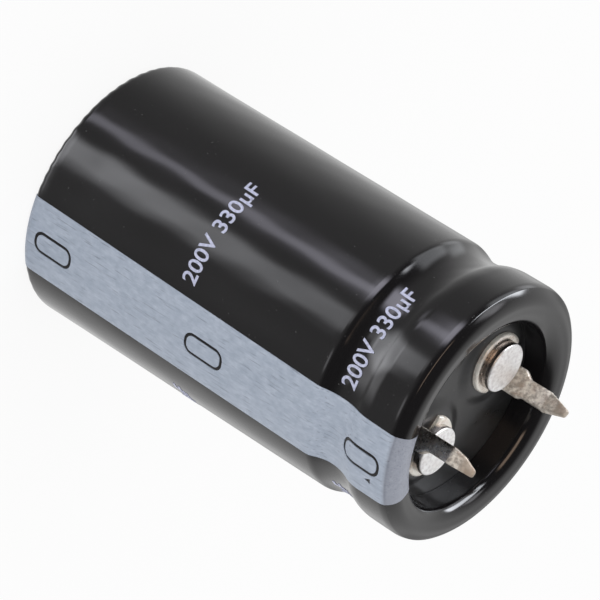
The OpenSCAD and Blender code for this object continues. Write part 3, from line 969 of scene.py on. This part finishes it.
def make_terminal(name, place, turn, material):
    """The bent strip. Its faces fall away by a quarter circle near every cut edge, as sheared metal does,
    by the distance to the blank's outline. The blade is then twisted about its middle, evenly from its foot
    to the kink, and its tip leans sideways, evenly from the kink. The strip is matt, but for the blade's
    outer face below the kink and, by plate_matt, the middle of the plate."""
    path = blade_path()
    run = along(path) + path[0, 0]
    level = path[:, 1]
    left, right = blank_edges(run, level, right_limit[name])
    thick = np.interp(level, [kink_z, tip_z], [plate_t, tip_t])
    across = strip_columns()
    x = (left + right)[:, None] / 2 + (right - left)[:, None] / 2 * across[None, :]
    spots = np.stack([x, np.broadcast_to(run[:, None], x.shape)], axis=-1)
    outline = np.concatenate([np.column_stack([left, run]), np.column_stack([right, run])[::-1]])
    nearest = distance_to_outline(spots, outline)
    rounding = cut_soft - np.sqrt(np.maximum(cut_soft ** 2 - (cut_soft - nearest) ** 2, 0))
    ring = bent_strip(path, x, thick, np.where(nearest < cut_soft, rounding, 0))
    twist = np.radians(blade_twist[name]) * ramp(level, foot_top, kink_z - foot_top)[:, None]
    ring -= np.stack(np.broadcast_arrays(blade_side, path[:, :1], 0), axis=-1)
    ring = placed(ring, (blade_side, path[:, :1]), twist)
    ring[..., 0] += tip_lean[name] * ramp(ring[..., 2], kink_z, tip_z - kink_z)
    outer_face = np.repeat([0.0, 1.0], len(across))[None, :]
    matt = 1 - outer_face * ramp(ring[..., 2], kink_z + matt_blur / 2, -matt_blur)
    cut_edge = ramp(np.concatenate([nearest, nearest[:, ::-1]], axis=1), matt_edge, -matt_edge)
    # Matt metal takes the pale struck colour, so a plate's matt share is partly a painted highlight, most on
    # the negative plate.
    on_plate = plate_matt[name] + (1 - plate_matt[name]) * cut_edge
    matt = np.where(run[:, None] < plate_end, on_plate, matt)
    points = placed(ring.reshape(-1, 3), place, turn)
    faces = capped_faces(len(path), ring.shape[1])
    piece = mesh_piece(f"blade_{name}", points, faces, material, 40)
    mark_matt(piece, matt.ravel())
    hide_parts(f"terminal_{name}")


# Studio.

def direction_to(azimuth, elevation):
    """Unit vector of an azimuth and an elevation in degrees."""
    a, e = math.radians(azimuth), math.radians(elevation)
    return Vector((math.cos(e) * math.cos(a), math.cos(e) * math.sin(a), math.sin(e)))


def make_camera():
    """Camera at its azimuth, elevation and distance from its aim point, rolled about the line to it."""
    back = direction_to(camera_azimuth, camera_elevation)
    level_right = (-back).cross(Vector((0, 0, 1))).normalized()
    level_up = back.cross(level_right)
    roll = math.radians(camera_roll)
    right = level_right * math.cos(roll) + level_up * math.sin(roll)
    up = back.cross(right)
    data = bpy.data.cameras.new("camera")
    data.lens, data.sensor_width = camera_lens, camera_sensor
    data.clip_start, data.clip_end = 0.01, 20
    camera = new_object("camera", data)
    frame_axes = Matrix((right, up, back)).transposed().to_4x4()
    spot = (Vector(camera_aim) + back * camera_distance) * MM
    camera.matrix_world = Matrix.Translation(spot) @ frame_axes
    bpy.context.scene.camera = camera


def shown_share(tree):
    """1 for rays from the camera, from gloss and through glass, 0 for the rest."""
    path = put(tree, "LightPath")
    first = maths(tree, "MAXIMUM", path.outputs["Is Camera Ray"], path.outputs["Is Glossy Ray"])
    return maths(tree, "MAXIMUM", first, path.outputs["Is Transmission Ray"])


def facing(tree, direction, towards):
    """Cosine of the angle between a direction and a fixed one."""
    dot = put(tree, "VectorMath", {0: direction, 1: tuple(towards)}, operation="DOT_PRODUCT")
    return dot.outputs["Value"]


def soft_window(tree, direction, azimuth, elevation, half_width, half_height, soft):
    """1 inside a window of directions and 0 outside, with an edge soft degrees wide to both sides. azimuth
    is off the camera's."""
    middle = direction_to(camera_azimuth + azimuth, elevation)
    side = direction_to(camera_azimuth + azimuth + 90, 0)
    top = middle.cross(side)
    sideways = maths(tree, "ARCTAN2", facing(tree, direction, side), facing(tree, direction, middle))
    upwards = maths(tree, "ARCSINE", facing(tree, direction, top))
    shares = []
    for angle, half in ((sideways, half_width), (upwards, half_height)):
        off = maths(tree, "DEGREES", maths(tree, "ABSOLUTE", angle))
        shares.append(spread(tree, off, half - soft, half + soft, 1, 0, smooth=True))
    return maths(tree, "MULTIPLY", *shares)


def make_world():
    """A plain level of light from all round. Gloss shows the studio in more detail: a white backdrop
    behind the part, darker low down, a greyer room and a dark ceiling on the camera's side, and the soft
    lamps."""
    world = bpy.data.worlds.new("studio")
    bpy.context.scene.world = world
    world.use_nodes = True
    tree = world.node_tree
    tree.nodes.clear()
    direction = put(tree, "TexCoord").outputs["Generated"]
    behind = facing(tree, direction, -direction_to(camera_azimuth, 0))
    up = facing(tree, direction, (0, 0, 1))
    room = spread(tree, behind, *room_range, room_near, room_far, smooth=True)
    high = spread(tree, up, *np.sin(np.radians(ceiling_elevations)), smooth=True)
    low = spread(tree, up, *np.sin(np.radians(low_elevations)), 1, 0, smooth=True)
    ceiling = maths(tree, "MULTIPLY", high, spread(tree, behind, *ceiling_range, 1, 0, smooth=True))
    below = maths(tree, "MULTIPLY", spread(tree, behind, *low_range, smooth=True), low)
    level = maths(tree, "MULTIPLY", room, spread(tree, ceiling, 0, 1, 1, ceiling_share))
    level = maths(tree, "MULTIPLY", level, spread(tree, below, 0, 1, 1, low_share))
    glow = put(tree, "CombineColor", {0: level, 1: level, 2: level}).outputs[0]
    for azimuth, elevation, half_width, half_height, soft, strength, tint in soft_lamps:
        window = soft_window(tree, direction, azimuth, elevation, half_width, half_height, soft)
        colour = tuple(strength * t for t in tint)
        lamp = put(tree, "VectorMath", {0: colour, 3: window}, operation="SCALE").outputs[0]
        glow = put(tree, "VectorMath", {0: glow, 1: lamp}, operation="ADD").outputs[0]
    path = put(tree, "LightPath")
    gloss = put(tree, "Background", {"Color": glow}).outputs[0]
    seen = put(tree, "Background", {"Color": (1, 1, 1, 1)}).outputs[0]
    light = put(tree, "Background", {"Color": (1, 1, 1, 1), "Strength": world_light}).outputs[0]
    plain = put(tree, "MixShader", {0: shown_share(tree), 1: light, 2: seen}).outputs[0]
    mix = put(tree, "MixShader", {0: path.outputs["Is Glossy Ray"], 1: plain, 2: gloss})
    put(tree, "OutputWorld", {"Surface": mix.outputs[0]})


def make_floor():
    """A wide pale floor at the part's foot, which looks white and keeps a light shadow."""
    material, tree = new_finish("floor")
    matt = put(tree, "BsdfDiffuse", {"Color": (0.9, 0.9, 0.9, 1)}).outputs[0]
    white = put(tree, "Emission", {"Color": (1, 1, 1, 1)}).outputs[0]
    share = maths(tree, "MULTIPLY", shown_share(tree), floor_shine)
    mix = put(tree, "MixShader", {0: share, 1: matt, 2: white})
    put(tree, "OutputMaterial", {"Surface": mix.outputs[0]})
    mesh = bpy.data.meshes.new("floor")
    corners = np.array([[-1, -1, 0], [1, -1, 0], [1, 1, 0], [-1, 1, 0]]) * floor_size
    mesh.from_pydata(corners * MM, [], [[0, 1, 2, 3]])
    mesh.materials.append(material)
    floor = new_object("floor", mesh)
    floor.visible_glossy = False


def make_lamp(name, azimuth, elevation, distance, size, power):
    """A square soft lamp that faces the middle of the part."""
    data = bpy.data.lights.new(name, "AREA")
    data.size, data.energy = size * MM, power
    lamp = new_object(name, data)
    back = direction_to(azimuth, elevation)
    lamp.location = (Vector((0, 0, top_z / 2)) + back * distance) * MM
    lamp.rotation_mode = "QUATERNION"
    lamp.rotation_quaternion = back.to_track_quat("Z", "Y")
    lamp.visible_camera = lamp.visible_glossy = False


bpy.context.scene.view_settings.view_transform = "Standard"
make_camera()
make_world()
make_floor()
make_lamp("key", azimuth=95, elevation=50, distance=400, size=300, power=0.18)

metal_strip = tinned_steel()
rivet_metal = rivet_aluminium()
foil = tab_foil()
film = shrink_film()
field_ink = stripe_ink()
rubber = seal_rubber()
finishes = {
    "can": drawn_aluminium(), "sleeve": film, "polarity_stripe": field_ink,
    "seal_rubber": rubber, "seal_board": paper_laminate(),
    "terminal_positive": metal_strip, "terminal_negative": metal_strip,
    "rivet_positive": rivet_metal, "rivet_negative": rivet_metal,
    "inner_washer_positive": rivet_metal, "inner_washer_negative": rivet_metal,
    "tab_positive": foil, "tab_negative": foil,
    "wound_element": wound_layers(), "element_tape": polyester_tape(), "end_paper": insulating_paper(),
}
for node, material in finishes.items():
    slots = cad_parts[node].data.materials
    slots.clear()
    slots.append(material)

make_sleeve(film)
make_stripe(field_ink)
make_ratings(print_ink())
make_seal(rubber)
for name, place, turn in rivet_places():
    make_rivet(name, place, turn, rivet_metal)
    make_terminal(name, place, turn, metal_strip)
